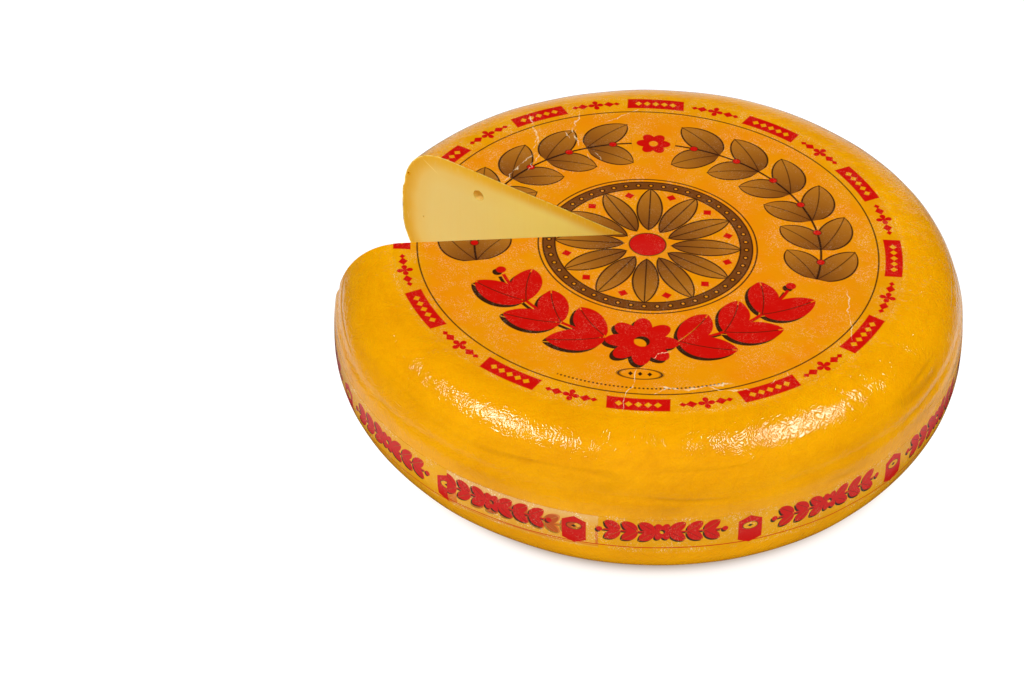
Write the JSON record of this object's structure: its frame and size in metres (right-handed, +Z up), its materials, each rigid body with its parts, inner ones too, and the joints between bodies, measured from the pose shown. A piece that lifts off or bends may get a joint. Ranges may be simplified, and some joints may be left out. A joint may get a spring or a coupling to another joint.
{
  "type": "gouda cheese wheel with a wedge cut out",
  "caption": "Large flat round gouda wheel with rounded sides, a wedge-shaped notch cut to near its middle, a printed round top label and a printed strip round its side.",
  "frame": {"origin": "on the flat base, under the middle of the wheel", "axes": "+Z up through the top label; -X points into the cut notch; +X along the print's reading direction"},
  "size_m": [0.3803, 0.3836, 0.1114],
  "materials": {
    "rind": "glossy wax-like coating over the rind, matt pale cream paste on the cut faces",
    "label": "printed thin paper under the clear coating",
    "strip": "printed thin paper under the clear coating"
  },
  "bodies": {
    "root": {"cheese_wheel": "rind", "top_label": "label", "side_strip": "strip"}
  },
  "joints": []
}
